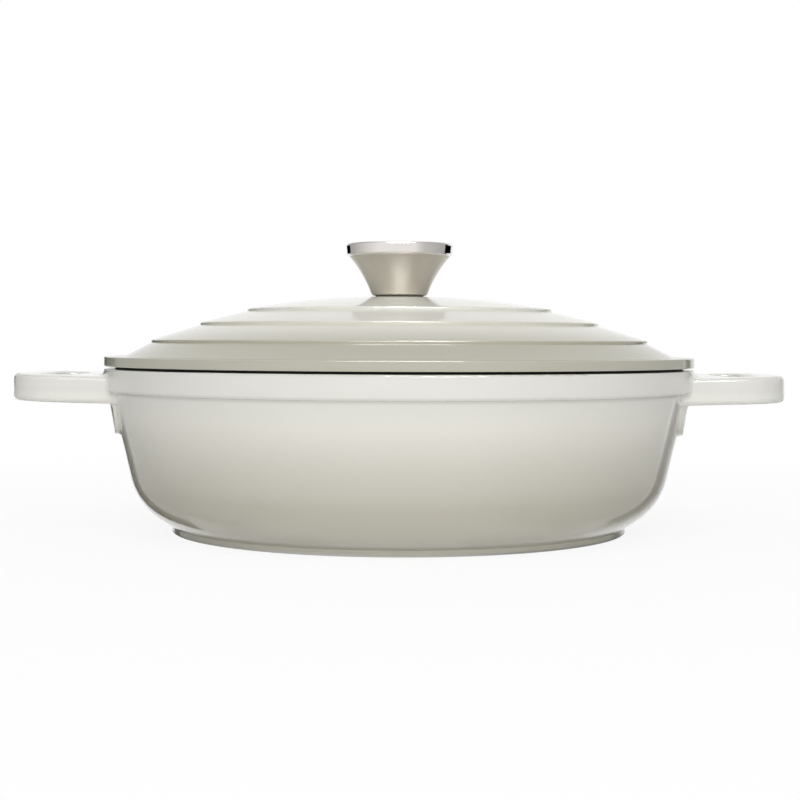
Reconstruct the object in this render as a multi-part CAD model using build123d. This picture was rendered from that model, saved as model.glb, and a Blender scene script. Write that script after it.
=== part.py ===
from build123d import *
import os
from math import cos, radians, sin, tan

# A shallow pan with two loop handles and a domed, stepped lid, in millimetres.
# Z is the axis of the bowl and starts at the table. X runs through the two handles.

# Bowl, outside
rim_radius = 147.1
rim_height = 81.0
rim_edge = 0.9
band_depth = 11.2
band_lip = 1.4
band_root = 1.6
wall_step = 3.2
wall_lean = 12.9
heel_lean = 56.0
heel_bend = 32.0
foot_inset = 14.0
foot_height = 3.0
foot_edge = 0.6

# Bowl, inside
rim_width = 7.0
bore_edge = 0.4
bore_lean = 11.8
floor_height = 8.0
floor_bend = 30.0

# Steel plate let into the underside: rings of holes, which the casting fills
plate_margin = 15.3
plate_thickness = 1.2
plate_hole_radius = 2.6
plate_ring_shares = (0.36, 0.72)
plate_ring_holes = (6, 12)

# Loop handles, which rise a little outwards
handle_length = 41.9
handle_half_width = 50.0
handle_thickness = 12.9
handle_drop = 3.4
handle_rise = 1.5
handle_bulge = 1.0
handle_corner = 26.0
handle_edge = 2.5
handle_root = 3.0
root_limit_share = 0.9
grip_bar = 11.7
slot_width = 16.0
slot_length = 60.0
slot_edge = 1.5

# Thickened pad on the wall below each handle, with the handle's round corners
pad_inset = 4.0
pad_depth = 16.0
pad_proud_above = 1.2
pad_proud_below = 2.7
pad_corner = 26.0
pad_edge = 0.8
pad_root = 2.5

# Lid, outside: three rings step up from the flange to the crown
flange_gap = 1.2
flange_thickness = 4.7
flange_top_edge = 0.6
flange_low_edge = 0.5
flange_width = 10.0
ring_radius_shares = (0.905, 0.73, 0.558)
ring_height_shares = (0.228, 0.517, 0.748)
ring_riser = 1.3
ring_edge = 0.7
crown_height = 30.2
crown_margin = 0.6
crown_sag = 1.1

# Lid, inside
lid_wall = 4.0
lid_bend = 60.0
seat_width = 1.2
skirt_gap = 0.5
skirt_depth = 4.0
skirt_wall = 3.0
skirt_edge = 0.8
boss_radius = 11.0
boss_height = 0.8

# Knob: a flared shell with a polished cap
gasket_inset = 1.8
gasket_thickness = 0.6
knob_base_radius = 13.9
knob_base_edge = 2.0
knob_mouth_radius = 25.3
knob_shell_height = 19.8
knob_sag = 1.15
knob_wall = 1.6
knob_floor = 2.6
cap_overhang = 1.9
cap_taper = 0.6
cap_height = 6.4
cap_low_edge = 1.4
cap_top_edge = 1.3
cap_wall = 1.5
cap_land = 2.6
cap_dish = 0.6
cap_spigot = 2.5

# Fasteners of the knob
screw_radius = 2.95
screw_end_gap = 1.3
screw_head_radius = 5.6
screw_head_height = 3.4
screw_head_edge = 1.4
screw_cross_width = 1.2
screw_cross_length = 6.0
screw_cross_depth = 1.8
washer_radius = 7.0
washer_thickness = 1.0
spring_radius = 5.3
spring_thickness = 1.4
spring_split = 1.0
insert_radius = 5.0
insert_length = 14.0
insert_flange_radius = 8.0
insert_flange_thickness = 1.5
insert_crown = 2.0

# Fits, the length by which a cut runs past its piece, and how near counts as touching
hole_clearance = 0.3
thread_clearance = 0.05
insert_clearance = 0.05
cap_clearance = 0.05
overrun = 2.0
touching = 0.01

# Heights that several pieces share
band_bottom = rim_height - band_depth
handle_top = rim_height - handle_drop
handle_height = handle_top - handle_thickness / 2
handle_bottom = handle_top - handle_thickness
pad_foot = handle_bottom - pad_depth
flange_bottom = rim_height + flange_gap
flange_top = flange_bottom + flange_thickness
crown_top = flange_top + crown_height
lid_ceiling = crown_top - lid_wall
boss_bottom = lid_ceiling - boss_height
knob_bottom = crown_top + gasket_thickness
knob_mouth = knob_bottom + knob_shell_height
insert_top = knob_bottom + insert_length

# Radii that several pieces share
bore_radius = rim_radius - rim_width
foot_radius = rim_radius - wall_step - tan(radians(wall_lean)) * band_bottom - foot_inset
pad_half_width = handle_half_width - pad_inset
shoulder_radius = rim_radius - flange_width
cap_radius = knob_mouth_radius + cap_overhang
screw_hole_radius = screw_radius + hole_clearance


def at(radius, height):
    """A point of a turned section, which lies on the XZ plane."""
    return Vector(radius, 0, height)


def rounded(section, corners):
    """The section with each of its (point, radius) corners rounded."""
    for point, radius in corners:
        corner = section.vertices().sort_by_distance(point)[0]
        section = fillet(corner, radius)
    return section


def bowed(start, end, sag):
    """An arc from start to end whose middle stands off the chord by sag, to its left."""
    chord = end - start
    left = Vector(-chord.Z, 0, chord.X).normalized()
    return ThreePointArc(start, (start + end) / 2 + left * sag, end)


def turned(*outline):
    """The section of a turned piece, from points and edges that follow each other round it."""
    edges = []
    pen = None
    first = None
    for step in outline:
        start, end = (step, step) if isinstance(step, Vector) else (step @ 0, step @ 1)
        if pen is not None and (start - pen).length > touching:
            edges.append(Line(pen, start))
        if not isinstance(step, Vector):
            edges.append(step)
        if first is None:
            first = start
        pen = end
    edges.append(Line(pen, first))
    return make_face(edges)


def ring(inner_radius, outer_radius, bottom, thickness):
    """A flat washer."""
    disc = Cylinder(outer_radius, thickness) - Cylinder(inner_radius, thickness)
    return Pos(0, 0, bottom + thickness / 2) * disc


def wall_radius(height):
    """Radius of the bowl's straight outside wall."""
    return rim_radius - wall_step - tan(radians(wall_lean)) * (band_bottom - height)


def bore_radius_at(height):
    """Radius of the bowl's straight inside wall."""
    return bore_radius - tan(radians(bore_lean)) * (rim_height - height)


def bowl():
    """The turned part of the casting: foot, heel, wall and rim band."""
    wall_run = tan(radians(wall_lean))
    heel_run = tan(radians(heel_lean))
    wall_foot = wall_radius(0) - foot_radius + heel_run * foot_height
    heel_top = wall_foot / (heel_run - wall_run)
    heel = at(wall_radius(heel_top), heel_top)
    foot = at(foot_radius, 0)
    rim = at(rim_radius, rim_height)
    bore = at(bore_radius, rim_height)
    floor = at(bore_radius_at(floor_height), floor_height)
    section = turned(
        at(0, 0),
        foot,
        at(foot_radius, foot_height),
        heel,
        at(wall_radius(band_bottom), band_bottom),
        at(rim_radius, band_bottom),
        rim,
        bore,
        floor,
        at(0, floor_height),
    )
    corners = [(foot, foot_edge), (heel, heel_bend), (rim, rim_edge), (bore, bore_edge)]
    return revolve(rounded(section, corners + [(floor, floor_bend)]), Axis.Z)


def flats(loop):
    """The flat underside and top of a handle."""
    faces = loop.faces().sort_by(Axis.Z)
    return faces[0], faces[-1]


def handle():
    """The loop handle on the +X side, cut off inside the bowl's wall."""
    side = handle_length - handle_bulge
    back = -rim_radius
    plan = make_face(
        [
            Line((back, -handle_half_width), (side, -handle_half_width)),
            ThreePointArc((side, -handle_half_width), (handle_length, 0), (side, handle_half_width)),
            Line((side, handle_half_width), (back, handle_half_width)),
            Line((back, handle_half_width), (back, -handle_half_width)),
        ]
    )
    plan = fillet(plan.vertices().group_by(Axis.X)[-1], handle_corner)
    slot_middle = handle_length - grip_bar - slot_width / 2
    slot = Pos(slot_middle, 0) * Rot(0, 0, 90) * SlotOverall(slot_length, slot_width)
    loop = extrude(plan - slot, handle_thickness / 2, both=True)
    outlines = [e for face in flats(loop) for e in face.outer_wire().edges()]
    loop = fillet([e for e in outlines if (e @ 0.5).X > back + touching], handle_edge)
    mouths = [e for face in flats(loop) for wire in face.inner_wires() for e in wire.edges()]
    loop = fillet(mouths, slot_edge)

    rise = radians(handle_rise)
    along = (cos(rise), 0, sin(rise))
    up = (-sin(rise), 0, cos(rise))
    placed = Plane(origin=(rim_radius, 0, handle_height), x_dir=along, z_dir=up) * loop
    core_radius = (bore_radius + wall_radius(handle_bottom)) / 2
    return placed - Pos(0, 0, handle_height) * Cylinder(core_radius, 2 * rim_height)


def pad():
    """The thickened pad on the wall below the +X handle, up to inside the rim band."""
    top = handle_top - pad_root
    sunk = pad_proud_above
    section = turned(
        at(wall_radius(pad_foot) - sunk, pad_foot),
        at(wall_radius(pad_foot) + pad_proud_below, pad_foot),
        at(wall_radius(top) + pad_proud_above, top),
        at(wall_radius(top) - sunk, top),
    )
    front = Plane.YZ * (Pos(0, (pad_foot + top) / 2) * Rectangle(2 * pad_half_width, top - pad_foot))
    corner = min(pad_corner, root_limit_share * (top - pad_foot))
    front = fillet(front.vertices().group_by(Axis.Z)[0], corner)
    block = Rot(0, 0, -90) * revolve(section, Axis.Z, 180) & extrude(front, rim_radius)
    face = block.faces().sort_by(Axis.X)[-1]
    edges = [e for e in face.edges() if (e @ 0.5).Z < top - touching]
    return fillet(edges, pad_edge)


def on_both(edge, one, other):
    """Whether an edge's middle lies on two solids."""
    point = edge @ 0.5
    return one.distance_to(point) < touching and other.distance_to(point) < touching


def band_circle(casting, radius):
    """The part's edges round the underside of the rim band at one radius."""
    rounds = [e for e in casting.edges().filter_by(GeomType.CIRCLE) if abs(e.radius - radius) < touching]
    return [e for e in rounds if abs((e @ 0.5).Z - band_bottom) < touching]


def root_edges(casting):
    """The edges of the casting close to where a handle leaves the bowl."""
    found = []
    for edge in casting.edges():
        point = edge @ 0.5
        reach = Vector(point.X, point.Y, 0).length
        beside = abs(point.X) > handle_half_width and bore_radius - wall_step < reach
        if beside and reach < rim_radius + wall_step and point.Z > pad_foot:
            found.append(edge)
    return found


def pot_body(plate):
    """The casting: bowl, handles and pads in one piece, with the plate's bed in its underside."""
    round_part = bowl()
    loops = [handle(), handle().rotate(Axis.Z, 180)]
    pads = [pad(), pad().rotate(Axis.Z, 180)]
    casting = round_part
    for side in loops + pads:
        casting += side
    casting = fillet(band_circle(casting, rim_radius), band_lip)

    on_band = [e for e in root_edges(casting) if (e @ 0.5).Z > band_bottom + touching]
    roots = [e for loop in loops for e in on_band if on_both(e, loop, round_part)]
    casting = fillet(roots, min(handle_root, root_limit_share * handle_drop))

    below = [e for e in root_edges(casting) if (e @ 0.5).Z < band_bottom]
    arcs = [e for e in below if e.geom_type == GeomType.ELLIPSE]
    under = [e for loop, block in zip(loops, pads) for e in arcs if on_both(e, loop, block)]
    casting = fillet(under, pad_root)
    casting = fillet(band_circle(casting, wall_radius(band_bottom)), band_root)
    return casting - plate


def base_plate():
    """The steel plate in the underside, flush with the foot."""
    plate_radius = foot_radius - plate_margin
    plate = Pos(0, 0, plate_thickness / 2) * Cylinder(plate_radius, plate_thickness)
    for share, holes in zip(plate_ring_shares, plate_ring_holes):
        drill = Pos(0, 0, plate_thickness / 2) * Cylinder(plate_hole_radius, plate_thickness + overrun)
        plate -= [place * drill for place in PolarLocations(share * plate_radius, holes)]
    return plate


def lid():
    """The lid casting: flange, three step rings and crown outside, seat and skirt inside."""
    crown = at(knob_base_radius + crown_margin, crown_top)
    shares = zip(ring_radius_shares, ring_height_shares)
    steps = [at(out * shoulder_radius, flange_top + up * crown_height) for out, up in shares]
    lips = [step + at(0, ring_riser) for step in steps]
    shoulder = at(shoulder_radius, flange_top)
    tip = at(rim_radius, flange_top)
    low_tip = at(rim_radius, flange_bottom)
    seat_radius = bore_radius + seat_width
    skirt_foot = rim_height - skirt_depth
    skirt_top = at(bore_radius - skirt_gap, rim_height)
    skirt_low = at(bore_radius_at(skirt_foot) - skirt_gap, skirt_foot)
    skirt_in = at(skirt_low.X - skirt_wall, skirt_foot)

    inside = [step - at(0, lid_wall) for step in steps]
    slope = (steps[0].Z - shoulder.Z) / (shoulder.X - steps[0].X)
    skirt_root = at(skirt_in.X, inside[0].Z - slope * (skirt_in.X - inside[0].X))
    boss_edge = at(boss_radius, lid_ceiling)
    ceiling = bowed(inside[2], boss_edge, -crown_sag)
    section = turned(
        at(screw_hole_radius, boss_bottom),
        at(screw_hole_radius, crown_top),
        bowed(crown, lips[2], crown_sag),
        steps[2],
        lips[1],
        steps[1],
        lips[0],
        steps[0],
        shoulder,
        tip,
        low_tip,
        at(seat_radius, flange_bottom),
        at(seat_radius, rim_height),
        skirt_top,
        skirt_low,
        skirt_in,
        skirt_root,
        inside[0],
        inside[1],
        ceiling,
        at(boss_radius, boss_bottom),
    )
    corners = [(tip, flange_top_edge), (low_tip, flange_low_edge), (skirt_low, skirt_edge)]
    corners += [(lip, ring_edge) for lip in lips]
    corners += [(corner, lid_bend) for corner in inside[:2]]
    return revolve(rounded(section, corners), Axis.Z)


def knob_gasket():
    """The thin seal between lid and knob."""
    return ring(screw_hole_radius, knob_base_radius - gasket_inset, crown_top, gasket_thickness)


def knob_body():
    """The satin shell of the knob: a cup that flares from its base to its mouth."""
    base = at(knob_base_radius, knob_bottom)
    mouth = at(knob_mouth_radius, knob_mouth)
    well_floor = knob_bottom + knob_floor
    well = at(knob_base_radius - knob_wall / 2, well_floor)
    mouth_in = at(knob_mouth_radius - knob_wall, knob_mouth)
    hole = insert_radius + insert_clearance
    section = turned(
        at(hole, knob_bottom),
        bowed(base, mouth, knob_sag),
        bowed(mouth_in, well, -knob_sag),
        at(hole, well_floor),
    )
    return revolve(rounded(section, [(base, knob_base_edge)]), Axis.Z)


def knob_cap():
    """The polished cap: a band round a shallow dish, with a spigot in the shell's mouth."""
    top = knob_mouth + cap_height
    spigot_foot = knob_mouth - cap_spigot
    spigot_top = knob_mouth_radius - knob_wall - cap_clearance
    spigot_low = spigot_top - cap_spigot
    inside = spigot_low - cap_wall
    low = at(cap_radius - cap_taper, knob_mouth)
    high = at(cap_radius, top)
    section = turned(
        at(inside, spigot_foot),
        at(spigot_low, spigot_foot),
        at(spigot_top, knob_mouth),
        low,
        high,
        at(cap_radius - cap_land, top),
        at(0, top - cap_dish),
        at(0, top - cap_dish - cap_wall),
        at(inside, top - cap_dish - cap_wall),
    )
    return revolve(rounded(section, [(low, cap_low_edge), (high, cap_top_edge)]), Axis.Z)


def knob_insert():
    """The threaded bush in the knob's base, with a flange that rests on the base."""
    bore = screw_radius + thread_clearance
    flange_low = knob_bottom + knob_floor
    flange_high = flange_low + insert_flange_thickness
    section = turned(
        at(bore, knob_bottom),
        at(insert_radius, knob_bottom),
        at(insert_radius, flange_low),
        at(insert_flange_radius, flange_low),
        at(insert_flange_radius, flange_high),
        at(insert_radius, flange_high),
        at(insert_radius, insert_top),
        at(0, insert_top),
        at(0, insert_top - insert_crown),
        at(bore, insert_top - insert_crown),
    )
    return revolve(section, Axis.Z)


def screw_washer():
    """The flat washer under the lid's boss."""
    return ring(screw_hole_radius, washer_radius, boss_bottom - washer_thickness, washer_thickness)


def spring_washer():
    """The split washer between the flat washer and the screw's head."""
    bottom = boss_bottom - washer_thickness - spring_thickness
    washer = ring(screw_hole_radius, spring_radius, bottom, spring_thickness)
    gap = Box(spring_radius + overrun, spring_split, spring_thickness + overrun, align=(Align.MIN, Align.CENTER))
    return washer - Pos(0, 0, bottom + spring_thickness / 2) * gap


def knob_screw():
    """The screw that holds the knob, put in from below the lid."""
    seat = boss_bottom - washer_thickness - spring_thickness
    head_low = seat - screw_head_height
    tip = insert_top - insert_crown - screw_end_gap
    rim = at(screw_head_radius, head_low)
    section = turned(
        at(0, head_low),
        rim,
        at(screw_head_radius, seat),
        at(screw_radius, seat),
        at(screw_radius, tip),
        at(0, tip),
    )
    screw = revolve(rounded(section, [(rim, screw_head_edge)]), Axis.Z)
    for turn in (0, 90):
        bar = Box(screw_cross_length, screw_cross_width, 2 * screw_cross_depth)
        screw -= Pos(0, 0, head_low) * Rot(0, 0, turn) * bar
    return screw


plate = base_plate()
pieces = {
    "pot_body": pot_body(plate),
    "base_plate": plate,
    "lid": lid(),
    "knob_gasket": knob_gasket(),
    "knob_body": knob_body(),
    "knob_cap": knob_cap(),
    "knob_insert": knob_insert(),
    "knob_screw": knob_screw(),
    "spring_washer": spring_washer(),
    "screw_washer": screw_washer(),
}
os.makedirs("parts", exist_ok=True)
for name, piece in pieces.items():
    export_step(piece, "parts/" + name + ".step")
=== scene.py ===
import math

import bpy
from mathutils import Matrix, Vector

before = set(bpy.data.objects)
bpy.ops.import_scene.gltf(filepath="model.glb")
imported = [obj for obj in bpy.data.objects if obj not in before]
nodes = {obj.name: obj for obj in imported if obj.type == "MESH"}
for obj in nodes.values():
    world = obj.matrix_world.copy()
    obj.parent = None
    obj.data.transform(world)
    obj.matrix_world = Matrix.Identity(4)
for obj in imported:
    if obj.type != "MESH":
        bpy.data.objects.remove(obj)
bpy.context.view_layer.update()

# Lengths are in metres, in the frame of the CAD part.

# Camera, fitted to the photograph's ellipses: pixels of the 800 by 800 frame, and a roll in degrees
FRAME_SIDE = 800
FOCAL_PIXELS = 1639.0
HORIZON_Y = 338.6
AXIS_X = 399.1
CAMERA_DISTANCE = 0.830
CAMERA_HEIGHT = 0.0961
CAMERA_ROLL = 0.2
SENSOR_MM = 36.0
CLIP_END = 100.0

# Colours, as written on the sRGB scale
WHITE = (255, 255, 255)
CREAM = (237, 236, 230)
BAND_CREAM = (226, 225, 219)
SAGE = (190, 187, 174)
# Sage at the foot, lighter than the sage above it: painted light from the floor's bounce
FOOT_SAGE_WITH_PAINTED_BOUNCE = (195, 192, 179)
FLANGE_SAGE = (185, 183, 169)
LINING = (24, 24, 20)
LINING_FLECK = (40, 40, 36)
BARE_METAL = (176, 174, 168)
PLATE_STEEL = (178, 176, 170)
KNOB_STEEL = (203, 198, 188)
FASTENER_STEEL = (190, 190, 190)
POLISHED_BAND = (229, 224, 220)
RING_DARK = (200, 196, 192)
RING_LIGHT = (226, 222, 218)
SILICONE_DARK = (76, 74, 67)
SILICONE_LIGHT = (90, 88, 80)

# Sprayed fades: the pot's goes by the share of the rim's height, the lid's by that of its radius.
# The pot's fade is the real sprayed sage to cream, but it lightens again at the foot: painted light
# from the floor's bounce
RIM_HEIGHT = 0.081
LID_RADIUS = 0.147
SPRAY_GRAIN = 0.03
POT_FADE = [
    (0.0, FOOT_SAGE_WITH_PAINTED_BOUNCE),
    (0.28, SAGE),
    (0.5, (209, 207, 196)),
    (0.71, (228, 226, 217)),
    (0.85, (231, 230, 224)),
    (0.88, BAND_CREAM),
]
LID_FADE = [
    (0.0, CREAM),
    (0.5, (229, 228, 220)),
    (0.71, (216, 213, 201)),
    (0.8, (191, 188, 172)),
    (0.86, (180, 177, 160)),
    (1.0, FLANGE_SAGE),
]

# Painted shade in the corner under the rim band: a soft darker line, standing in for the shade of a
# wider, softer corner than the fillet gives. Where it lies, and the greys that the coat's colour is
# multiplied by from its low side to its high side
PAINTED_SHADE_FROM = 0.0675
PAINTED_SHADE_TO = 0.0715
PAINTED_SHADE_RADIUS = 0.1475
PAINTED_SHADE_GREYS = [
    (0.0, WHITE),
    (0.22, (250, 250, 249)),
    (0.4, (235, 235, 233)),
    (0.6, (250, 250, 249)),
    (0.78, (241, 241, 239)),
    (1.0, WHITE),
]

# The pot's lining lies inside two cones halfway through the casting, one in the wall and one in
# the heel. It also covers the top of the rim within the lid's seat ring.
WALL_RADIUS_AT_RIM = 0.1405
WALL_LEAN = 0.1686
HEEL_RADIUS_AT_TABLE = 0.0997
HEEL_LEAN = 1.43
LINING_FROM = 0.004
RIM_TOP_FROM = 0.0805
UNDERSIDE_TO = 0.0011

# The lid's lining covers the faces that look down within the seat ring, and the skirt
SEAT_RADIUS = 0.1422
DOWNWARD = -0.05
SKIRT_TO = 0.08215
SKIRT_RADIUS = 0.1416

# The knob's cap has a flat top above this height and within this radius
CAP_TOP_FROM = 0.1408
CAP_TOP_RADIUS = 0.0257

# Scales of the noise that draws turned lines: fine ones, and the cap's coarser rings
FINE_LINES = 9000.0
CAP_RINGS = 1100.0

# The Mix node has sockets for several types of value: these are the ones for colours
MIX_FIRST_COLOUR = 6
MIX_SECOND_COLOUR = 7
MIX_RESULT_COLOUR = 2

# The floor glows white to the camera, and a little less near the pot, where it keeps the shadow.
# Reflections don't show it: they see the white world in its place.
FLOOR_SIZE = 12.0
FLOOR_GREY = 0.85
FLOOR_NEAR = 0.15
FLOOR_FAR = 0.6
FLOOR_GLOW_NEAR = 0.9

# The world is white to the camera and to reflections, and lights the object with this strength
WORLD_LIGHT = 0.32

# Lowest and highest points of the cards
BESIDE = (-0.15, 0.054)
BELOW = (-0.6, -0.15)
FAR_OFF = (0.05, 0.2)
TALL = (-2.0, 3.0)
OVERHEAD = (0.54, 0.8)

# Greys along a card, each with the y at which it lies
EDGE_FADE = [(0.102, 0), (0.115, 0), (0.123, 118), (0.131, 173), (0.1415, 226), (0.155, 255)]
LEFT_FADE = [(-1.2, 255), (-0.4, 232), (0.16, 206), (0.75, 180), (2.2, 188)]
RIGHT_FADE = [(-2.0, 255), (-0.85, 210), (-0.25, 201), (0.32, 184), (1.3, 188)]

# Cards, seen in reflections only: black ones beside the bowl, dim ones below them, tall flats and a
# bright strip. Each has a name, the x and y of its two ends, its lowest and highest points, the
# strength of its glow, and its fade.
CARDS = [
    ("card_left", (-0.233, 0.118), (-0.191, 0.148), BESIDE, 0.0, None),
    ("card_left_low", (-0.28, 0.084), (-0.12, 0.199), BELOW, 0.8, None),
    ("card_left_far", (-0.85, 0.75), (-0.42, 0.956), FAR_OFF, 0.0, None),
    ("card_right", (0.2544, 0.102), (0.1808, 0.155), BESIDE, 1.0, EDGE_FADE),
    ("card_right_low", (0.28, 0.084), (0.12, 0.199), BELOW, 0.8, None),
    ("card_right_far", (0.254, 0.095), (0.70, 0.98), FAR_OFF, 0.0, None),
    ("flat_left", (-1.3, -1.2), (-1.3, 2.2), TALL, 1.0, LEFT_FADE),
    ("flat_right", (1.3, -2.0), (1.3, 1.3), TALL, 1.0, RIGHT_FADE),
    ("strip", (-0.22, -0.5), (0.26, -0.5), OVERHEAD, 65.0, None),
]

# Lamps: name, place, the point that it faces, width and height, power in watts, and whether it
# shows in reflections
LAMPS = [
    ("key", (0.06, -1.05, 1.5), (0, 0, 0.06), (1.6, 0.5), 8.5, True),
    ("fill", (0.06, -1.85, 0.45), (0, 0, 0.06), (1.6, 0.8), 11.3, False),
    ("back", (-0.3, 1.7, 1.3), (0, 0, 0.06), (1.6, 0.8), 6.0, False),
    ("top", (0.0, 0.1, 1.6), (0, 0.1, 0), (1.6, 1.6), 5.0, False),
    ("bounce", (0.0, -0.42, 0.002), (0.0, -0.42, 1.0), (1.0, 0.45), 0.15, False),
]


def linear(rgb):
    """An sRGB colour of 0 to 255 as linear RGBA."""
    channels = []
    for value in rgb:
        share = value / 255
        channels.append(share / 12.92 if share <= 0.04045 else ((share + 0.055) / 1.055) ** 2.4)
    return (*channels, 1.0)


class Graph:
    """A material's node tree, with short calls for the nodes that this script uses."""

    def __init__(self, name):
        self.material = bpy.data.materials.new(name)
        self.material.use_nodes = True
        self.tree = self.material.node_tree
        self.tree.nodes.clear()
        self.output = self.tree.nodes.new("ShaderNodeOutputMaterial")

    def add(self, kind, **settings):
        node = self.tree.nodes.new(kind)
        for key, value in settings.items():
            setattr(node, key, value)
        return node

    def link(self, source, target):
        """Links a socket to another, or sets a number directly."""
        if isinstance(source, (int, float)):
            target.default_value = source
        else:
            self.tree.links.new(source, target)

    def math(self, operation, *values):
        node = self.add("ShaderNodeMath", operation=operation)
        for socket, value in zip(node.inputs, values):
            self.link(value, socket)
        return node.outputs[0]

    def below(self, value, limit):
        return self.math("LESS_THAN", value, limit)

    def above(self, value, limit):
        return self.math("GREATER_THAN", value, limit)

    def both(self, first, second):
        return self.math("MULTIPLY", first, second)

    def either(self, first, second):
        return self.math("MAXIMUM", first, second)

    def split(self, vector):
        node = self.add("ShaderNodeSeparateXYZ")
        self.link(vector, node.inputs[0])
        return node.outputs

    def place(self):
        """Object coordinates, so that what is painted stays on the piece as it moves."""
        return self.add("ShaderNodeTexCoord").outputs["Object"]

    def height(self):
        return self.split(self.place())[2]

    def radius(self):
        x, y, z = self.split(self.place())
        squares = self.math("ADD", self.math("MULTIPLY", x, x), self.math("MULTIPLY", y, y))
        return self.math("SQRT", squares)

    def facing(self):
        """How far the surface looks up, from -1 to 1."""
        return self.split(self.add("ShaderNodeTexCoord").outputs["Normal"])[2]

    def noise(self, scale, detail=2.0, vector=None):
        node = self.add("ShaderNodeTexNoise")
        node.inputs["Scale"].default_value = scale
        node.inputs["Detail"].default_value = detail
        self.link(self.place() if vector is None else vector, node.inputs["Vector"])
        return node.outputs["Fac"]

    def ramp(self, factor, stops):
        node = self.add("ShaderNodeValToRGB")
        elements = node.color_ramp.elements
        while len(elements) < len(stops):
            elements.new(0.5)
        for element, (position, colour) in zip(elements, stops):
            element.position = position
            element.color = linear(colour)
        self.link(factor, node.inputs[0])
        return node.outputs[0]

    def spread(self, value, low, high, start=0.0, end=1.0):
        """The value as a share of the way from low to high, or as a number from start to end."""
        node = self.add("ShaderNodeMapRange")
        self.link(value, node.inputs["Value"])
        node.inputs["From Min"].default_value = low
        node.inputs["From Max"].default_value = high
        node.inputs["To Min"].default_value = start
        node.inputs["To Max"].default_value = end
        return node.outputs[0]

    def bump(self, height, strength, distance):
        node = self.add("ShaderNodeBump")
        node.inputs["Strength"].default_value = strength
        node.inputs["Distance"].default_value = distance
        self.link(height, node.inputs["Height"])
        return node.outputs[0]

    def darken(self, factor, colour, grey):
        """A colour multiplied by a grey, where the factor is 1."""
        node = self.add("ShaderNodeMix", data_type="RGBA", blend_type="MULTIPLY")
        self.link(factor, node.inputs[0])
        self.link(colour, node.inputs[MIX_FIRST_COLOUR])
        self.link(grey, node.inputs[MIX_SECOND_COLOUR])
        return node.outputs[MIX_RESULT_COLOUR]

    def shader(self, **inputs):
        """A Principled shader whose sockets are named with underscores for spaces."""
        node = self.add("ShaderNodeBsdfPrincipled")
        for key, value in inputs.items():
            socket = node.inputs[key.replace("_", " ")]
            if isinstance(value, tuple):
                socket.default_value = value
            else:
                self.link(value, socket)
        return node.outputs[0]

    def emission(self, strength, colour=None):
        node = self.add("ShaderNodeEmission")
        node.inputs["Strength"].default_value = strength
        if colour is not None:
            self.link(colour, node.inputs["Color"])
        return node.outputs[0]

    def mix(self, factor, first, second):
        node = self.add("ShaderNodeMixShader")
        for socket, value in zip(node.inputs, (factor, first, second)):
            self.link(value, socket)
        return node.outputs[0]

    def finish(self, shader):
        self.link(shader, self.output.inputs["Surface"])
        return self.material


def dress(name, material):
    """Gives a CAD node one material on all its slots."""
    slots = nodes[name].data.materials
    slots.clear()
    slots.append(material)


def glossy_coat(graph, colour):
    """Sprayed, fired coating: glossy, with a faint orange peel and a breath of handling marks."""
    peel = graph.noise(scale=420.0, detail=1.0)
    normal = graph.bump(peel, strength=0.05, distance=0.0002)
    marks = graph.noise(scale=26.0, detail=4.0)
    roughness = graph.spread(marks, low=0.35, high=0.75, start=0.085, end=0.15)
    return graph.shader(Base_Color=colour, Roughness=roughness, IOR=1.5, Normal=normal)


def black_lining(graph):
    """Matt non-stick lining with a fine fleck."""
    fleck = graph.noise(scale=1500.0, detail=3.0)
    colour = graph.ramp(fleck, [(0.3, LINING), (0.72, LINING_FLECK)])
    normal = graph.bump(graph.noise(scale=900.0), strength=0.12, distance=0.0003)
    return graph.shader(Base_Color=colour, Roughness=0.55, Specular_IOR_Level=0.2, Normal=normal)


def sprayed(graph, value, full):
    """The value as a share of the full one, broken up by a fine grain, as a sprayed fade is."""
    share = graph.spread(value, low=0.0, high=full)
    grain = graph.math("SUBTRACT", graph.noise(scale=700.0, detail=4.0), 0.5)
    return graph.math("ADD", share, graph.math("MULTIPLY", grain, SPRAY_GRAIN))


def pot_lining(graph, z, radius):
    """1 on the inside of the bowl and on the rim's top within the lid's seat, 0 elsewhere."""
    depth = graph.math("SUBTRACT", RIM_HEIGHT, z)
    wall = graph.math("SUBTRACT", WALL_RADIUS_AT_RIM, graph.math("MULTIPLY", WALL_LEAN, depth))
    heel = graph.math("ADD", HEEL_RADIUS_AT_TABLE, graph.math("MULTIPLY", HEEL_LEAN, z))
    inside = graph.below(radius, graph.math("MINIMUM", wall, heel))
    inside = graph.both(inside, graph.above(z, LINING_FROM))
    rim_top = graph.both(graph.above(z, RIM_TOP_FROM), graph.below(radius, SEAT_RADIUS))
    return graph.either(inside, rim_top)


def pot_material():
    """Fading coat outside, with painted shade in a soft line under the rim band, black lining
    inside, and bare metal on the underside.
    """
    graph = Graph("pot_coating")
    z = graph.height()
    radius = graph.radius()
    outside = graph.ramp(sprayed(graph, z, RIM_HEIGHT), POT_FADE)
    # Painted shade: the coat's colour is darkened in a soft line in the corner under the rim band
    painted_shade = graph.ramp(graph.spread(z, PAINTED_SHADE_FROM, PAINTED_SHADE_TO), PAINTED_SHADE_GREYS)
    outside = graph.darken(graph.below(radius, PAINTED_SHADE_RADIUS), outside, painted_shade)
    bare = graph.shader(Base_Color=linear(BARE_METAL), Metallic=1.0, Roughness=0.32)
    coated = graph.mix(graph.below(z, UNDERSIDE_TO), glossy_coat(graph, outside), bare)
    return graph.finish(graph.mix(pot_lining(graph, z, radius), coated, black_lining(graph)))


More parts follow.
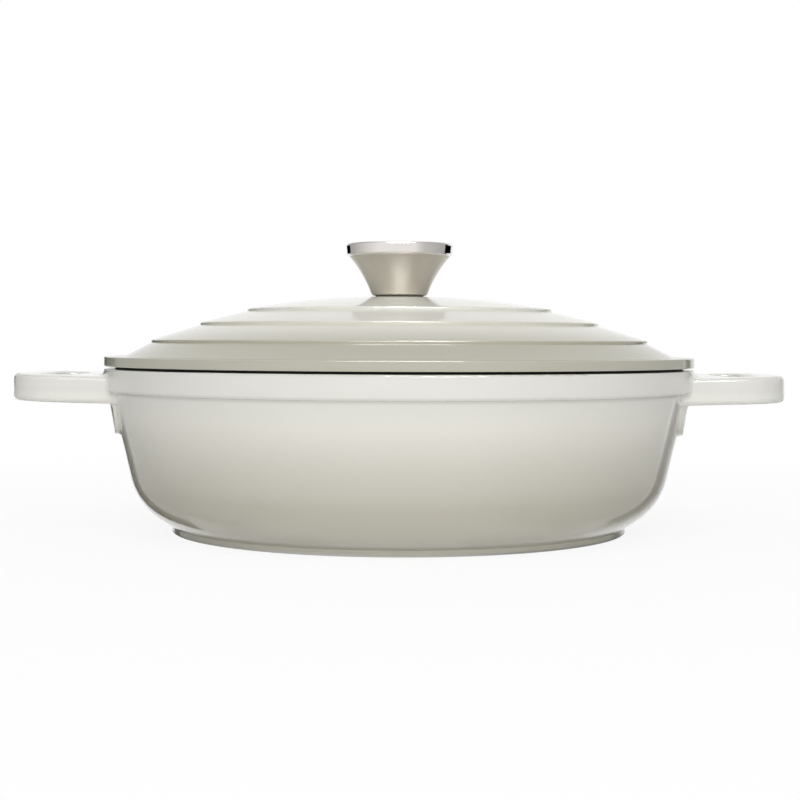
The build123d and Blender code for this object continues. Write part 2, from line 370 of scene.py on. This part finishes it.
def lid_material():
    """Fading coat outside and black lining within the seat ring."""
    graph = Graph("lid_coating")
    radius = graph.radius()
    outside = graph.ramp(sprayed(graph, radius, LID_RADIUS), LID_FADE)
    faces_down = graph.both(graph.below(graph.facing(), DOWNWARD), graph.below(radius, SEAT_RADIUS))
    skirt = graph.both(graph.below(graph.height(), SKIRT_TO), graph.below(radius, SKIRT_RADIUS))
    inside = graph.either(faces_down, skirt)
    return graph.finish(graph.mix(inside, glossy_coat(graph, outside), black_lining(graph)))


def turned_lines(graph, scale):
    """Noise that only changes along a turned section, which gives the lines of turning."""
    combine = graph.add("ShaderNodeCombineXYZ")
    graph.link(graph.math("ADD", graph.radius(), graph.height()), combine.inputs[0])
    return graph.noise(scale, vector=combine.outputs[0])


def steel(name, colour, roughness, lines):
    """Stainless steel with turning lines of the strength given, dulled a little here and there."""
    graph = Graph(name)
    normal = graph.bump(turned_lines(graph, FINE_LINES), strength=lines, distance=0.0001)
    tarnish = graph.noise(scale=60.0, detail=3.0)
    dull = graph.spread(tarnish, low=0.3, high=0.7, start=roughness - 0.04, end=roughness + 0.06)
    darker = tuple(round(channel * 0.96) for channel in colour)
    shade = graph.ramp(graph.noise(scale=45.0, detail=3.0), [(0.35, darker), (0.65, colour)])
    return graph.finish(graph.shader(Base_Color=shade, Metallic=1.0, Roughness=dull, Normal=normal))


def polished_cap():
    """Mirror-polished band round a spun top with fine rings."""
    graph = Graph("knob_polished")
    high = graph.above(graph.height(), CAP_TOP_FROM)
    on_top = graph.both(high, graph.below(graph.radius(), CAP_TOP_RADIUS))
    smears = graph.noise(scale=70.0, detail=3.0)
    roughness = graph.spread(smears, low=0.3, high=0.7, start=0.045, end=0.08)
    band = graph.shader(Base_Color=linear(POLISHED_BAND), Metallic=1.0, Roughness=roughness)
    rings = graph.ramp(turned_lines(graph, CAP_RINGS), [(0.35, RING_DARK), (0.65, RING_LIGHT)])
    normal = graph.bump(turned_lines(graph, FINE_LINES), strength=0.12, distance=0.0001)
    around = graph.add("ShaderNodeTangent", direction_type="RADIAL", axis="Z").outputs[0]
    top = graph.shader(
        Base_Color=rings,
        Metallic=1.0,
        Roughness=0.26,
        Anisotropic=0.7,
        Tangent=around,
        Normal=normal,
    )
    return graph.finish(graph.mix(on_top, band, top))


def silicone():
    """Matt silicone with a slight mottle."""
    graph = Graph("silicone")
    shade = graph.ramp(graph.noise(scale=800.0), [(0.3, SILICONE_DARK), (0.7, SILICONE_LIGHT)])
    return graph.finish(graph.shader(Base_Color=shade, Roughness=0.6))


def white_floor():
    """White floor that keeps the object's shadow."""
    graph = Graph("floor")
    path = graph.add("ShaderNodeLightPath")
    sweep = graph.spread(graph.radius(), FLOOR_NEAR, FLOOR_FAR, start=FLOOR_GLOW_NEAR)
    glow = graph.both(path.outputs["Is Camera Ray"], sweep)
    matt = graph.shader(Base_Color=(FLOOR_GREY, FLOOR_GREY, FLOOR_GREY, 1.0), Roughness=0.9)
    material = graph.finish(graph.mix(glow, matt, graph.emission(1.0)))
    bpy.ops.mesh.primitive_plane_add(size=FLOOR_SIZE, location=(0, 0, 0))
    floor = bpy.context.object
    floor.name = "floor"
    floor.visible_glossy = False
    floor.data.materials.append(material)


def surroundings():
    """White world that lights the object more dimly than it looks."""
    world = bpy.data.worlds.new("studio")
    bpy.context.scene.world = world
    world.use_nodes = True
    tree = world.node_tree
    path = tree.nodes.new("ShaderNodeLightPath")
    seen = tree.nodes.new("ShaderNodeMath")
    seen.operation = "MAXIMUM"
    tree.links.new(path.outputs["Is Camera Ray"], seen.inputs[0])
    tree.links.new(path.outputs["Is Glossy Ray"], seen.inputs[1])
    level = tree.nodes.new("ShaderNodeMapRange")
    level.inputs["To Min"].default_value = WORLD_LIGHT
    tree.links.new(seen.outputs[0], level.inputs["Value"])
    background = tree.nodes["Background"]
    background.inputs["Color"].default_value = (1, 1, 1, 1)
    tree.links.new(level.outputs[0], background.inputs["Strength"])


def card(name, start, end, heights, glow, fade):
    """An upright card between two places that is seen in reflections only."""
    mesh = bpy.data.meshes.new(name)
    corners = [(x, y, z) for x, y in (start, end) for z in heights]
    mesh.from_pydata(corners, [], [(0, 2, 3, 1)])
    graph = Graph(name)
    colour = None
    if fade:
        front, back = start[1], end[1]
        along = graph.spread(graph.split(graph.place())[1], front, back)
        stops = [((y - front) / (back - front), (grey, grey, grey)) for y, grey in fade]
        colour = graph.ramp(along, stops)
    mesh.materials.append(graph.finish(graph.emission(glow, colour)))
    holder = bpy.data.objects.new(name, mesh)
    bpy.context.scene.collection.objects.link(holder)
    holder.visible_camera = False
    holder.visible_diffuse = False
    holder.visible_shadow = False


def lamp(name, place, aim, size, power, mirrored):
    """A soft rectangular lamp that faces a point; one that isn't mirrored leaves no highlight."""
    light = bpy.data.lights.new(name, "AREA")
    light.shape = "RECTANGLE"
    light.size, light.size_y = size
    light.energy = power
    holder = bpy.data.objects.new(name, light)
    holder.visible_camera = False
    holder.visible_glossy = mirrored
    bpy.context.scene.collection.objects.link(holder)
    turn = (Vector(aim) - Vector(place)).to_track_quat("-Z", "Y").to_matrix().to_4x4()
    holder.matrix_world = Matrix.Translation(place) @ turn


def camera():
    """The camera that took the photograph, as fitted."""
    data = bpy.data.cameras.new("camera")
    data.sensor_width = SENSOR_MM
    data.lens = FOCAL_PIXELS / FRAME_SIDE * SENSOR_MM
    data.clip_end = CLIP_END
    pitch = math.atan((FRAME_SIDE / 2 - HORIZON_Y) / FOCAL_PIXELS)
    yaw = math.atan((AXIS_X - FRAME_SIDE / 2) / FOCAL_PIXELS)
    holder = bpy.data.objects.new("camera", data)
    bpy.context.scene.collection.objects.link(holder)
    turn = Matrix.Rotation(yaw, 4, "Z") @ Matrix.Rotation(math.pi / 2 - pitch, 4, "X")
    turn = turn @ Matrix.Rotation(math.radians(CAMERA_ROLL), 4, "Z")
    holder.matrix_world = Matrix.Translation((0, -CAMERA_DISTANCE, CAMERA_HEIGHT)) @ turn
    bpy.context.scene.camera = holder


dress("pot_body", pot_material())
dress("lid", lid_material())
dress("base_plate", steel("base_steel", PLATE_STEEL, roughness=0.3, lines=0.3))
dress("knob_body", steel("knob_satin", KNOB_STEEL, roughness=0.33, lines=0.25))
dress("knob_cap", polished_cap())
fastener = steel("fastener_steel", FASTENER_STEEL, roughness=0.3, lines=0.2)
for name in ("knob_insert", "knob_screw", "spring_washer", "screw_washer"):
    dress(name, fastener)
dress("knob_gasket", silicone())

white_floor()
surroundings()
for settings in CARDS:
    card(*settings)
for settings in LAMPS:
    lamp(*settings)
camera()
bpy.context.scene.view_settings.view_transform = "Standard"
